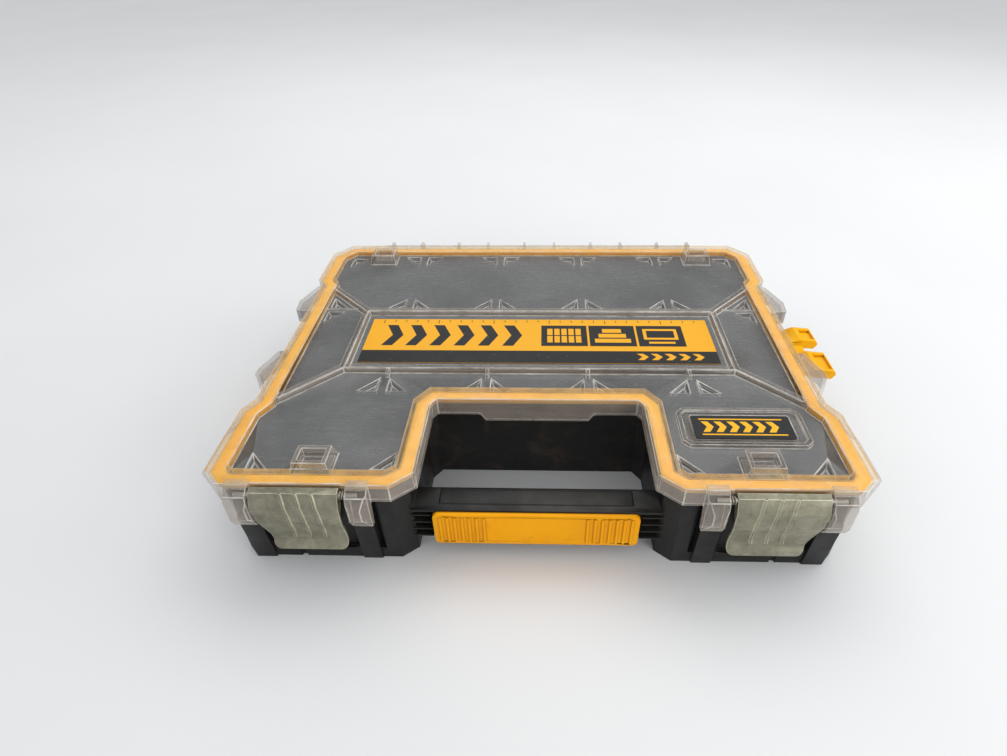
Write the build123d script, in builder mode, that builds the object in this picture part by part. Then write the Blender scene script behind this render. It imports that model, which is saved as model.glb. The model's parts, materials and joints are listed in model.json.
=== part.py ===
"""Stackable parts organizer: a low tub of removable bins under a clear hinged lid.

Frame: +X to the right, +Y to the hinge side, +Z up, in millimetres. The origin lies on the table
plane, at the centre of the pad under the tub.
"""
import os
from math import atan2, cos, degrees, hypot, pi, radians, sin

from build123d import *

os.makedirs("parts", exist_ok=True)

# Plan of the yellow seal frame's inner edge
back_y = 154.0
front_y = -157.8
back_half = 198.5
mid_half = 192.3
front_half = 199.3
back_corner_x = 10.0
back_corner_y = 12.0
back_jog_y = 96.0
back_jog_run = 8.0
front_jog_y = -89.0
front_jog_run = 12.5
front_corner = 4.3

# Plan of the handle notch
notch_half = 87.0
notch_y = -73.5
notch_corner_x = 9.0
notch_corner_y = 12.5
mouth_corner_x = 7.5
mouth_corner_y = 6.0
mouth_slope = 0.5
tab_half = 42.0
tab_drop = 6.0

# Heights
foot_height = 5.5
pad_half_x = 45.0
pad_half_y = 30.0
floor_thick = 2.5
tub_height = 70.8
gasket_height = 1.8
frame_height = 5.2
frame_gap = 0.2
lid_thick = 2.2
panel_drop = 5.0
skirt_height = 15.0
flare_drop = 3.0
boss_height = 4.3

# Widths measured outwards from the seal frame's inner edge, and flares beyond the rim's outer face
frame_width = 9.0
frame_clear = 0.3
rim_wall = 2.2
tub_inner = 2.5
tub_wall = 2.5
gasket_width = 2.2
skirt_flare_back = 1.0
skirt_flare_mid = 2.1
skirt_flare_jog = 4.5
skirt_flare_side = 11.7
foot_width = 9.5

# Bins
bin_columns = 5
bin_row_y = 45.3
bin_gap = 1.6
bin_wall = 1.4
bin_floor = 1.6
bin_radius = 7.0
bin_side_gap = 1.2
bin_top_gap = 0.5
partition_wall = 2.0
partition_drop = 10.8

# Label frame and badge frame on the lid
ridge_half_x = 156.0
ridge_back = 44.0
ridge_front = -49.0
ridge_width = 9.0
ridge_height = 4.4
ridge_draft = 18.0
tick_half = 1.2
tick_count = 4
tick_spacing = 77.0
tick_depth = 7.0
label_margin_x = 3.8
label_margin_front = 5.5
label_margin_back = 6.0
label_thick = 0.4
badge_x = 140.5
badge_y = -109.0
badge_frame_x = 86.0
badge_frame_y = 38.0
badge_chamfer = 4.5
badge_ring = 3.2
badge_height = 3.0
badge_plate_x = 67.0
badge_plate_y = 23.0
badge_plate_z = 1.6
badge_seat_depth = 0.4
badge_thick = 0.6
badge_corner = 1.4
badge_seat_clear = 0.6

# Corner pockets that press on the bins, and the stacking bosses
pocket_x = 16.0
pocket_y = 17.0
pocket_depth = 3.0
pocket_slope = 38.0
pocket_wall = 1.2
boss_x = 27.0
boss_y = 21.5
boss_wall = 5.5
boss_slope = 12.0
front_boss_x = 144.0
back_boss_x = 156.5
stack_clear = 1.5

# Front latches, their pins and the lugs that carry them
latch_x = 149.6
latch_width = 55.7
latch_thick = 2.0
latch_gap = 1.5
inner_lug_gap = 4.4
inner_lug_width = 13.6
outer_lug_width = 14.5
lug_reach = 10.2
pivot_reach = 3.8
pivot_drop = 5.0
pin_radius = 1.5
pin_clear = 0.05
pin_seat = 8.0
latch_drop = 1.4
latch_shoulder = 40.0
latch_bottom = 29.5
latch_tab_width = 49.0
latch_wide_part = 11.0
latch_corner = 5.0
latch_dish = 2.6
latch_set_back = 0.6
latch_rib_places = (-11.6, -1.6, 8.1)
latch_rib_width = 1.8
latch_rib_height = 0.7
# Share of the height over the shoulder, and sway towards the notch
latch_rib_line = ((0.97, 0.0), (0.86, 1.2), (0.58, 2.9), (0.22, 3.2), (-0.04, 1.6))
latch_flange = 2.0
latch_flange_radius = 4.4
lug_drop = 33.2
lug_cut = 1.6
lug_wide_cut = 4.5
opening_wall = 0.9
column_gap = 0.6
column_shift = 3.0
column_out = 4.8
column_draft = 3.5
recess_depth = 5.3
recess_low = 9.5
recess_drop = 10.8
recess_corner = 6.0
slot_width = 3.6
slot_depth = 1.6
slot_in = 45.0
catch_half = 18.0
catch_clear = 0.6
catch_rise = 5.0
catch_fall = 8.0
bead_reach = 6.3
bead_height = 40.5

# Springs on the latch pins
spring_wire = 1.0
spring_clear = 0.3
spring_pitch = 1.55
spring_turns = 2

# Rear hinge
hinge_reach = 7.0
hinge_drop = 14.7
knuckle_count = 5
knuckle_pitch = 69.0
knuckle_width = 33.2
knuckle_radius = 5.3
hinge_ear = 2.2
hinge_ear_radius = 6.0
hinge_gap = 0.4
hinge_pin_radius = 2.0
hinge_arm_drop = 16.0
hinge_arm_foot = 3.0

# Handle
handle_depth = 20.5
handle_set_back = 0.3
handle_top = 44.0
handle_bottom = 12.5
handle_wall = 2.6
handle_lip = 2.2
handle_pad_height = 0.5
handle_pad_depth = 12.5
handle_pad_margin = 2.5
handle_pad_end = 4.0
grip_half = 69.0
grip_thick = 4.2
grip_height = 29.5
grip_seat = 2.0
grip_ribs = 7
grip_rib_pitch = 4.9
grip_rib_width = 1.8
grip_rib_height = 1.0
grip_rib_margin = 2.5
grip_rib_start = 5.0
grip_corner = 4.0
grip_seat_margin = 3.0
grip_seat_clear = 0.3
grip_seat_gap = 0.1
fin_count = 4
fin_thick = 1.2
fin_recess = 7.0

# Side latches
side_latch_y = 10.0
side_latch_length = 64.0
side_axis_reach = 1.8
side_axis_drop = 8.2
side_barrel_radius = 3.4
side_knuckle = 15.0
side_reach = 22.0
side_wing = 14.5
side_wing_length = 21.0
side_thick = 4.0
side_rise = 3.0
folded_turn = 90.0
side_lug_reach = 16.8
side_lug_height = 13.2
side_lug_drop = 6.0
# Plan places of the side lugs: inwards from the lug's face, and along Y
back_lug_plan = ((15.3, 95.0), (8.3, 88.0), (0.0, 62.0), (1.5, 47.0))
front_lug_plan = ((8.0, -18.0), (0.0, -42.0), (0.0, -49.0))
back_lug_roots = (86.0, 44.0)
front_lug_roots = (-15.0, -80.0)


def mirrored(points):
    """Close a right-hand half outline with its mirror image."""
    return points + [(-x, y) for x, y in reversed(points)]


def half_outline():
    """Right half of the seal frame's inner edge, from the back to the notch."""
    return [
        (back_half - back_corner_x, back_y),
        (back_half, back_y - back_corner_y),
        (back_half, back_jog_y),
        (mid_half, back_jog_y - back_jog_run),
        (mid_half, front_jog_y),
        (front_half, front_jog_y - front_jog_run),
        (front_half, front_y + front_corner),
        (front_half - front_corner, front_y),
        (notch_half + mouth_slope + mouth_corner_x, front_y),
        (notch_half + mouth_slope, front_y + mouth_corner_y),
        (notch_half, notch_y - notch_corner_y),
        (notch_half - notch_corner_x, notch_y),
    ]


def shifted(points, shifts):
    """Move each edge of a clockwise outline outwards by its own distance."""
    count = len(points)
    lines = []
    for i in range(count):
        (ax, ay), (bx, by) = points[i], points[(i + 1) % count]
        length = hypot(bx - ax, by - ay)
        ux, uy = (bx - ax) / length, (by - ay) / length
        lines.append((ax - uy * shifts[i], ay + ux * shifts[i], ux, uy))
    corners = []
    for i in range(count):
        px, py, ux, uy = lines[i - 1]
        qx, qy, vx, vy = lines[i]
        t = ((qx - px) * vy - (qy - py) * vx) / (ux * vy - uy * vx)
        corners.append((px + ux * t, py + uy * t))
    return corners


inner_edge = mirrored(half_outline())
EDGES = len(inner_edge)
HALF = EDGES // 2


def grown(distance):
    """The seal frame's inner edge, moved outwards evenly."""
    return shifted(inner_edge, [distance] * EDGES)


rim_outer = frame_width + frame_clear + rim_wall
flares = [rim_outer] * HALF
flares[1] += skirt_flare_back
flares[3] += skirt_flare_mid
flares[4] += skirt_flare_jog
flares[5] += skirt_flare_side
side_flares = flares[: HALF - 1]
flares = side_flares + [rim_outer] + list(reversed(side_flares)) + [rim_outer]


def flared(inset):
    """The skirt's lower edge, moved inwards by inset."""
    return shifted(inner_edge, [f - inset for f in flares])


# Heights that follow from the driving sizes
floor_top = foot_height + floor_thick
gasket_top = tub_height + gasket_height
frame_top = gasket_top + frame_height
lid_top = frame_top + frame_gap + lid_thick
panel_top = lid_top - panel_drop
panel_low = panel_top - lid_thick
skirt_low = lid_top - skirt_height
tub_outer = tub_inner + tub_wall
wall_front = front_y - tub_outer
partition_top = tub_height - partition_drop
recess_high = tub_height - recess_drop

# Places that follow from the rim's outer face and the lid's top
lug_front = front_y - rim_outer - lug_reach
latch_face = lug_front + latch_set_back
lug_bottom = lid_top - lug_drop
pivot_y = front_y - rim_outer - pivot_reach
pivot_z = lid_top - pivot_drop
latch_top = lid_top - latch_drop
hinge_y = back_y + rim_outer + hinge_reach
hinge_z = lid_top - hinge_drop
handle_front = front_y + handle_set_back
handle_back = handle_front + handle_depth
side_axis_x = mid_half + rim_outer + side_axis_reach
side_axis_z = skirt_low - side_axis_drop
side_lug_x = mid_half + rim_outer + side_lug_reach
side_lug_low = lid_top - side_lug_drop - side_lug_height


def slab(points, low, high):
    """A prism over a closed outline."""
    with BuildPart() as prism:
        with BuildSketch(Plane.XY.offset(low)):
            Polygon(points, align=None)
        extrude(amount=high - low)
    return prism.part


def block(x0, x1, y0, y1, z0, z1):
    """A box from its limits."""
    return slab([(x0, y0), (x0, y1), (x1, y1), (x1, y0)], z0, z1)


def side_profile(points, x0, x1):
    """A prism along X over a (y, z) outline."""
    with BuildPart() as prism:
        with BuildSketch(Plane.YZ.offset(x0)):
            Polygon(points, align=None)
        extrude(amount=x1 - x0)
    return prism.part


def front_profile(points, y0, y1):
    """A prism along Y over an (x, z) outline."""
    with BuildPart() as prism:
        with BuildSketch(Plane.XZ.offset(-y0)):
            Polygon(points, align=None)
        extrude(amount=y0 - y1)
    return prism.part


def rod_x(y, z, radius, x0, x1):
    """A round bar along X."""
    with BuildPart() as rod:
        with BuildSketch(Plane.YZ.offset(x0)):
            with Locations((y, z)):
                Circle(radius)
        extrude(amount=x1 - x0)
    return rod.part


def rod_y(x, z, radius, y0, y1):
    """A round bar along Y."""
    with BuildPart() as rod:
        with BuildSketch(Plane.XZ.offset(-y0)):
            with Locations((x, z)):
                Circle(radius)
        extrude(amount=y0 - y1)
    return rod.part


def skirt_body(top, low, inset):
    """The lid's flared body between two heights, drawn in by inset."""
    with BuildPart() as body:
        with BuildSketch(Plane.XY.offset(top)):
            Polygon(grown(rim_outer - inset), align=None)
        with BuildSketch(Plane.XY.offset(low)):
            Polygon(flared(inset), align=None)
        loft(ruled=True)
    return body.part


# Where the latch and its lugs stand, on the right-hand side
latch_in = latch_x - latch_width / 2
latch_out = latch_x + latch_width / 2
inner_lug = (latch_in - inner_lug_gap - inner_lug_width, latch_in - inner_lug_gap)
outer_lug = (latch_out + latch_gap, latch_out + latch_gap + outer_lug_width)
lug_root = front_y - frame_width
lug_outline = [
    (lug_root, lid_top),
    (lug_root - 3.0, lid_top),
    (lug_front + 3.0, lid_top - 4.5),
    (lug_front, lid_top - 13.0),
    (lug_front, lid_top - 22.0),
    (lug_front + 4.5, lug_bottom + 1.0),
    (lug_front + 6.0, lug_bottom),
    (lug_root - 4.0, lug_bottom),
    (lug_root - 2.0, skirt_low - 2.0),
    (lug_root, skirt_low + 1.0),
]
knuckle_centres = [knuckle_pitch * (i - (knuckle_count - 1) / 2) for i in range(knuckle_count)]


# Bin places: five columns in two rows
bin_pitch = (2 * (mid_half + tub_inner - bin_side_gap) + bin_gap) / bin_columns
bin_width = bin_pitch - bin_gap
bin_rows = {
    "back": (bin_row_y + bin_gap / 2, back_y + tub_inner - bin_side_gap - 4.0),
    "middle": (notch_y - tub_inner + bin_side_gap, bin_row_y - bin_gap / 2),
}
bin_top = tub_height - bin_top_gap
column_bounds = [bin_pitch * (i + 0.5) for i in range(bin_columns // 2)]


def tub():
    """Black moulded tub with the handle bar, hinge arms and latch columns."""
    pieces = [block(-pad_half_x, pad_half_x, -pad_half_y, pad_half_y, 0, floor_top - 1), handle_bar()]
    bores = []
    for side in (-1, 1):
        pieces += front_supports(side) + [handle_fins(side), side_latch_block(side)]
        y0, y1 = side_latch_y - side_knuckle, side_latch_y + side_knuckle
        bores.append(rod_y(side * side_axis_x, side_axis_z, pin_radius + pin_clear, y0, y1))
    for x in knuckle_centres:
        pieces.append(hinge_arm(x))
        x0, x1 = x - knuckle_width / 2, x + knuckle_width / 2
        bores.append(rod_x(hinge_y, hinge_z, hinge_pin_radius + pin_clear, x0, x1))
    with BuildPart() as base_tub:
        add(slab(grown(tub_outer), 0, tub_height))
        add(slab(grown(tub_inner), floor_top, tub_height + 1), mode=Mode.SUBTRACT)
        add(slab(grown(tub_outer - foot_width), -1, foot_height), mode=Mode.SUBTRACT)
        add(pieces)
        add(front_recesses(-1) + front_recesses(1), mode=Mode.SUBTRACT)
        add([catch_ledge(-1), catch_ledge(1)])
        add(bores + stacking_pockets(), mode=Mode.SUBTRACT)
    return base_tub.part


def stacking_pockets():
    """Pockets under the tub for the bosses of a unit below."""
    half_x = boss_x / 2 + stack_clear
    half_y = boss_y / 2 + stack_clear
    return [
        block(x - half_x, x + half_x, y - half_y, y + half_y, -1, foot_height)
        for x, y in boss_places()
    ]


def front_supports(side):
    """Partition behind a front compartment, with the columns and the recess's back wall."""
    supports = []
    x0, x1 = sorted((side * (notch_half - tub_inner), side * (front_half + tub_inner + 0.5)))
    y1 = notch_y - tub_inner
    supports.append(block(x0, x1, y1 - partition_wall, y1, floor_top - 1, partition_top))
    for lug in (inner_lug, outer_lug):
        x0, x1 = sorted((side * (lug[0] + column_shift), side * (lug[1] + column_shift)))
        supports.append(side_profile(column_outline(), x0, x1))
    for start, end in recess_spans():
        x0, x1 = sorted((side * (start - tub_wall), side * (end + tub_wall)))
        y0 = wall_front + recess_depth
        supports.append(block(x0, x1, y0 - recess_depth / 2, y0 + tub_wall, floor_top - 1, tub_height))
    return supports


def recess_spans():
    """Stretches of the front wall that are set back: beside the inner column and behind the latch."""
    inner = (notch_half + mouth_corner_x + tub_outer + 4.0, inner_lug[0] + column_shift)
    behind_latch = (inner_lug[1] + column_shift, outer_lug[0] + column_shift)
    return [inner, behind_latch]


def front_recesses(side):
    """Recesses in the front wall, with rounded lower corners, and the slot under the latch."""
    cuts = []
    for start, end in recess_spans():
        corner = min(recess_corner, (end - start) / 2 - 0.5)
        with BuildPart() as recess:
            with BuildSketch(Plane.XZ.offset(-wall_front + column_out + 1)):
                with Locations((side * (start + end) / 2, (recess_low + recess_high) / 2)):
                    Rectangle(end - start, recess_high - recess_low)
            extrude(amount=-(recess_depth + column_out + 1))
            low_edges = recess.edges().filter_by(Axis.Y).group_by(Axis.Z)[0]
            fillet(low_edges, radius=corner)
        cuts.append(recess.part)
    x = side * (inner_lug[1] + slot_in)
    half = slot_width / 2
    cuts.append(block(x - half, x + half, wall_front - 1, wall_front + slot_depth, -1, recess_low))
    return cuts


def column_outline():
    """Side view of a front column under a lug."""
    top = lug_bottom - column_gap
    front = wall_front - column_out
    return [
        (wall_front + 1, 0),
        (front + column_draft, 0),
        (front, top - 1),
        (front + 1.0, top),
        (wall_front + 1, top),
    ]


def catch_ledge(side):
    """Ledge on the recess's back wall behind the latch's bead."""
    reach = pivot_y + bead_reach + catch_clear
    back = wall_front + recess_depth + 1
    middle = bead_height
    outline = [
        (back, middle - catch_fall),
        (reach, middle - 3.5),
        (reach, middle + 0.5),
        (back, middle + catch_rise),
    ]
    x0, x1 = sorted((side * (latch_x - catch_half), side * (latch_x + catch_half)))
    return side_profile(outline, x0, x1)


def handle_bar():
    """Bridge across the notch, hollow from below, with a seat for the grip."""
    end = notch_half - tub_inner - tub_wall / 2
    with BuildPart() as bar:
        add(block(-end, end, handle_front, handle_back, handle_bottom, handle_top))
        inner = end + 1
        add(
            block(
                -inner,
                inner,
                handle_front + fin_recess + handle_wall,
                handle_back - handle_wall,
                handle_bottom - 1,
                handle_top - handle_wall,
            ),
            mode=Mode.SUBTRACT,
        )
        for side in (-1, 1):
            x0, x1 = sorted((side * grip_half, side * (end + 1)))
            y1 = handle_front + fin_recess
            z1 = handle_top - handle_lip
            add(block(x0, x1, handle_front - 1, y1, handle_bottom - 1, z1), mode=Mode.SUBTRACT)
        seat = grip_half - grip_seat_margin
        middle = grip_middle()
        half = grip_height / 2 - grip_seat_margin
        add(
            block(-seat, seat, handle_front - 1, handle_front + grip_seat, middle - half, middle + half),
            mode=Mode.SUBTRACT,
        )
        pad = grip_half - handle_pad_end
        y1 = handle_back - handle_pad_margin
        z1 = handle_top + handle_pad_height
        add(block(-pad, pad, y1 - handle_pad_depth, y1, handle_top, z1))
    return bar.part


def grip_middle():
    """Height of the grip's middle."""
    return (handle_bottom + handle_top) / 2


def handle_fins(side):
    """Thin level fins from the end of the grip round the notch's mouth."""
    with BuildPart() as fins:
        step = (handle_top - handle_bottom) / (fin_count + 0.5)
        for i in range(fin_count):
            z = handle_bottom + step * (i + 0.5)
            outline = [
                (side * (grip_half + 1.5), handle_front + fin_recess + 0.5),
                (side * (grip_half + 1.5), handle_front + 0.5),
                (side * (notch_half + 1.0), handle_front + 0.5),
                (side * (notch_half + mouth_corner_x + 1.0), front_y - tub_outer + 0.3),
                (side * (notch_half + mouth_corner_x + 1.0), handle_front + fin_recess + 0.5),
            ]
            add(slab(outline, z, z + fin_thick))
    return fins.part


def hinge_arm(x):
    """One base knuckle with the arm that carries it out of the back wall."""
    half = knuckle_width / 2 - hinge_ear - hinge_gap
    wall = back_y + tub_outer
    with BuildPart() as arm:
        outline = [
            (wall - 1, hinge_z - hinge_arm_drop),
            (wall + hinge_arm_foot, hinge_z - hinge_arm_drop),
            (hinge_y + 4.0, hinge_z - 3.6),
            (hinge_y, hinge_z),
            (hinge_y - 4.0, skirt_low - 1.3),
            (wall - 1, skirt_low - 1.3),
        ]
        add(side_profile(outline, x - half, x + half))
        add(rod_x(hinge_y, hinge_z, knuckle_radius, x - half, x + half))
    return arm.part


def side_latch_block(side):
    """Middle knuckle of a side latch's hinge."""
    wall = mid_half + tub_outer
    with BuildPart() as knuckle:
        outline = [
            (side * (wall - 1), side_axis_z - side_barrel_radius - 0.8),
            (side * (side_axis_x - 1.0), side_axis_z - side_barrel_radius + 0.2),
            (side * side_axis_x, side_axis_z),
            (side * (side_axis_x - 1.0), side_axis_z + side_barrel_radius - 0.2),
            (side * (wall - 1), side_axis_z + side_barrel_radius - 0.2),
        ]
        y0, y1 = side_latch_y - side_knuckle / 2, side_latch_y + side_knuckle / 2
        add(front_profile(outline, y0, y1))
        add(rod_y(side * side_axis_x, side_axis_z, side_barrel_radius, y0, y1))
    return knuckle.part


def grip():
    """Yellow grip plate with upright ribs at both ends."""
    middle = grip_middle()
    with BuildPart() as handle_grip:
        with BuildSketch(Plane.XZ.offset(-handle_front)):
            with Locations((0, middle)):
                RectangleRounded(2 * grip_half, grip_height, grip_corner)
        extrude(amount=grip_thick - grip_rib_height)
        seat = grip_half - grip_seat_margin - grip_seat_clear
        half = grip_height / 2 - grip_seat_margin - grip_seat_clear
        back = handle_front + grip_seat - grip_seat_gap
        add(block(-seat, seat, handle_front - 0.5, back, middle - half, middle + half))
        front = handle_front - grip_thick + grip_rib_height
        rib_height = grip_height - 2 * grip_rib_margin
        for side in (-1, 1):
            for i in range(grip_ribs):
                x = side * (grip_half - grip_rib_start - i * grip_rib_pitch)
                with BuildSketch(Plane.XZ.offset(-front)):
                    with Locations((x, middle)):
                        RectangleRounded(grip_rib_width, rib_height, grip_rib_width / 2 - 0.05)
                extrude(amount=grip_rib_height)
    return handle_grip.part


def parts_bin(row):
    """One removable bin with thin walls and rounded corners, in the middle column."""
    y0, y1 = bin_rows[row]
    length = y1 - y0
    height = bin_top - floor_top
    inner_radius = bin_radius - bin_wall
    with BuildPart() as tray:
        with BuildSketch(Plane.XY.offset(floor_top)):
            with Locations((0, (y0 + y1) / 2)):
                RectangleRounded(bin_width, length, bin_radius)
        extrude(amount=height)
        with BuildSketch(Plane.XY.offset(floor_top + bin_floor)):
            with Locations((0, (y0 + y1) / 2)):
                RectangleRounded(bin_width - 2 * bin_wall, length - 2 * bin_wall, inner_radius)
        extrude(amount=height, mode=Mode.SUBTRACT)
        floor_edges = tray.faces().filter_by(Plane.XY).sort_by(Axis.Z)[1].edges()
        fillet(floor_edges, radius=inner_radius - 1.0)
    return tray.part


def pocket_corners():
    """Right-angle corners of the pockets, with the way each one opens."""
    corners = []
    back_edge = back_y - 5.5
    for bound in column_bounds:
        for side in (-1, 1):
            for way in (-1, 1):
                x = side * bound + way * 3.2
                corners.append((x, back_edge, way, -1))
                corners.append((x, ridge_back + 3.5, way, 1))
                corners.append((x, notch_y + 2.5, way, 1))
    for side in (-1, 1):
        corners.append((side * (back_half - 9.0), back_edge - 3.5, -side, -1))
        corners.append((side * (front_half - 10.5), front_y + 4.5, -side, 1))
        corners.append((side * (notch_half + 4.5), front_y + 6.5, side, 1))
        corners.append((side * (mid_half - 4.5), bin_row_y - 3.2, -side, -1))
        corners.append((side * (mid_half - 4.5), bin_row_y + 3.2, -side, 1))
    return corners


def pocket_sketch(corner, grow):
    """Triangle of one pocket, enlarged by grow on its two square sides."""
    x, y, way_x, way_y = corner
    x -= way_x * grow
    y -= way_y * grow
    return [
        (x, y),
        (x + way_x * (pocket_x + 2.4 * grow), y),
        (x, y + way_y * (pocket_y + 2.4 * grow)),
    ]


def ridge_bars():
    """Outlines of the ridges: the label frame's four bars and the four diagonals."""
    half = ridge_width / 2
    cx = ridge_half_x - half
    y_back = ridge_back - half
    y_front = ridge_front + half
    bars = [
        ((-cx, y_back), (cx, y_back)),
        ((-cx, y_front), (cx, y_front)),
        ((-cx, y_front), (-cx, y_back)),
        ((cx, y_front), (cx, y_back)),
    ]
    for side in (-1, 1):
        bars.append(((side * cx, y_back), (side * (mid_half + 1.0), back_jog_y - back_jog_run - 6.0)))
        bars.append(((side * cx, y_front), (side * (mid_half + 1.0), front_jog_y + 4.0)))
    return bars


def bar_prism(start, end, width, low, high, draft):
    """A straight ridge between two plan points."""
    (ax, ay), (bx, by) = start, end
    length = hypot(bx - ax, by - ay)
    turn = degrees(atan2(by - ay, bx - ax))
    centre = ((ax + bx) / 2, (ay + by) / 2)
    with BuildPart() as bar:
        with BuildSketch(Plane.XY.offset(low)):
            with Locations(Location((centre[0], centre[1]), turn)):
                Rectangle(length + width, width)
        extrude(amount=high - low, taper=draft)
    return bar.part


def boss(x, y, grow, low, high, slope):
    """A stacking boss, or the space inside it."""
    with BuildPart() as stud:
        with BuildSketch(Plane.XY.offset(low)):
            with Locations((x, y)):
                Rectangle(boss_x + 2 * grow, boss_y + 2 * grow)
        extrude(amount=high - low, taper=slope)
    return stud.part


def boss_places():
    """Plan centres of the four stacking bosses."""
    y_front = front_y + boss_y / 2 + 0.3
    y_back = back_y - boss_y / 2 - 1.5
    return [
        (-front_boss_x, y_front),
        (front_boss_x, y_front),
        (-back_boss_x, y_back),
        (back_boss_x, y_back),
    ]


def side_lug_outlines(side):
    """Plan outlines of the two clear lugs beside a side latch."""
    root = mid_half + frame_width
    outlines = []
    for plan, (start, end) in ((back_lug_plan, back_lug_roots), (front_lug_plan, front_lug_roots)):
        face = [(side * (side_lug_x - inwards), y) for inwards, y in plan]
        outlines.append([(side * root, start)] + face + [(side * root, end)])
    return outlines


def lid():
    """Clear lid: raised rim over the seal frame, sunken panel, ridges, pockets, bosses and lugs."""
    with BuildPart() as lid_shell:
        add([slab(grown(rim_outer), skirt_low, lid_top), skirt_body(lid_top - flare_drop, skirt_low, 0)])
        add(lid_lugs() + hinge_ears())
        # Space under the lid, open below
        add(
            [
                slab(grown(frame_width + frame_clear), skirt_low - 1, lid_top - lid_thick),
                skirt_body(lid_top - flare_drop - rim_wall, skirt_low - 0.01, rim_wall),
            ]
            + lug_hollows(),
            mode=Mode.SUBTRACT,
        )
        # Sunken panel with its wall along the seal frame
        add([slab(grown(0), panel_low, lid_top), notch_tab()])
        add(slab(grown(-rim_wall), panel_top, lid_top + 1), mode=Mode.SUBTRACT)
        add(raised_features())
        add(sunk_features(), mode=Mode.SUBTRACT)
        add(latch_openings() + pin_bores(), mode=Mode.SUBTRACT)
    return lid_shell.part


def lid_lugs():
    """Clear lugs at the front and at both sides."""
    lugs = []
    for side in (-1, 1):
        lugs.append(front_lug(side, inner_lug, (lug_wide_cut, lug_cut)))
        lugs.append(front_lug(side, outer_lug, (lug_cut, lug_cut)))
        for outline in side_lug_outlines(side):
            lugs.append(slab(outline, side_lug_low, lid_top - side_lug_drop))
    return lugs


def front_lug(side, lug, cuts):
    """One front lug, with its upright front edges cut off."""
    (x0, x1), (cut0, cut1) = lug, cuts
    plan = [
        (side * x0, lug_root),
        (side * x0, lug_front + cut0),
        (side * (x0 + cut0), lug_front),
        (side * (x1 - cut1), lug_front),
        (side * x1, lug_front + cut1),
        (side * x1, lug_root),
    ]
    low, high = sorted((side * x0, side * x1))
    with BuildPart() as corner_lug:
        add(side_profile(lug_outline, low, high))
        add(slab(plan, lug_bottom, lid_top), mode=Mode.INTERSECT)
    return corner_lug.part


def notch_tab():
    """Deeper tongue in the middle of the notch's skirt."""
    y0 = notch_y - rim_outer
    outline = [
        (-tab_half, skirt_low + 1),
        (tab_half, skirt_low + 1),
        (tab_half, skirt_low),
        (tab_half - 0.7 * tab_drop, skirt_low - tab_drop),
        (0.7 * tab_drop - tab_half, skirt_low - tab_drop),
        (-tab_half, skirt_low),
    ]
    return front_profile(outline, y0, y0 + rim_wall)


def hinge_ears():
    """Pairs of thin ears at the ends of the hinge pins."""
    ears = []
    for x in knuckle_centres:
        for end in (-1, 1):
            edge = x + end * knuckle_width / 2
            x0, x1 = sorted((edge, edge - end * hinge_ear))
            ears.append(hinge_ear_plate(x0, x1))
    return ears


def lug_hollows():
    """Spaces inside the side lugs."""
    return [hollow_side_lug(side, outline) for side in (-1, 1) for outline in side_lug_outlines(side)]


def raised_features():
    """What stands up from the sunken panel, and the pocket cups under it, inside the seal frame."""
    top = panel_top + ridge_height
    features = []
    for start, end in ridge_bars():
        features.append(bar_prism(start, end, ridge_width, panel_low, top, ridge_draft))
    for i in range(tick_count):
        x = (i - (tick_count - 1) / 2) * tick_spacing
        y1 = ridge_front + 2.0
        features.append(block(x - tick_half, x + tick_half, y1 - tick_depth, y1, panel_low, top - 0.6))
    for side in (-1, 1):
        x0, x1 = sorted((side * (ridge_half_x - 2.0), side * mid_half))
        features.append(block(x0, x1, bin_row_y - 0.9, bin_row_y + 0.9, panel_low, panel_top + 1.1))
    for x, y in boss_places():
        features.append(boss(x, y, 0, panel_low, lid_top + boss_height, boss_slope))
    with BuildPart() as raised:
        add(features + [pocket_cups(), badge_frame()])
        add(slab(grown(-0.1), 0, lid_top + 2 * boss_height), mode=Mode.INTERSECT)
    return raised.part


def sunk_features():
    """Hollows under the ridges, in the bosses and in the corner pockets, and the badge's seat."""
    width = ridge_width - 2 * lid_thick
    low = panel_low - 0.5
    high = panel_top + ridge_height - lid_thick
    hollows = [bar_prism(start, end, width, low, high, ridge_draft) for start, end in ridge_bars()]
    for x, y in boss_places():
        hollows.append(boss(x, y, -boss_wall, panel_top + 1.5, lid_top + boss_height + 1, 0))
        hollows.append(boss(x, y, -2.0, panel_low - 1, panel_top - 0.2, 0))
    with BuildPart() as sunk:
        add(hollows + [pocket_hollows(), badge_seat()])
        add(slab(grown(-lid_thick), 0, lid_top + 2 * boss_height), mode=Mode.INTERSECT)
    return sunk.part


def latch_openings():
    """Gaps in the lid's skirt where the front latches hang."""
    gaps = []
    for side in (-1, 1):
        x0, x1 = sorted((side * (latch_in - latch_gap), side * (latch_out + latch_gap)))
        y1 = front_y - frame_width - frame_clear - opening_wall
        gaps.append(block(x0, x1, lug_front, y1, skirt_low - 1, lid_top + 1))
    return gaps


def pin_bores():
    """Bores for the latch pins and the hinge pins."""
    bores = []
    for side in (-1, 1):
        x0, x1 = sorted((side * (inner_lug[1] - pin_seat), side * (outer_lug[0] + pin_seat)))
        bores.append(rod_x(pivot_y, pivot_z, pin_radius + pin_clear, x0, x1))
    for x in knuckle_centres:
        bores.append(rod_x(hinge_y, hinge_z, hinge_pin_radius + pin_clear, x - 20, x + 20))
    return bores


def hollow_side_lug(side, outline):
    """Space inside a side lug, open below."""
    clockwise = outline if side > 0 else list(reversed(outline))
    inner = shifted(clockwise, [-lid_thick] * len(clockwise))
    return slab(inner, side_lug_low - 1, lid_top - side_lug_drop - lid_thick)


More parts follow.
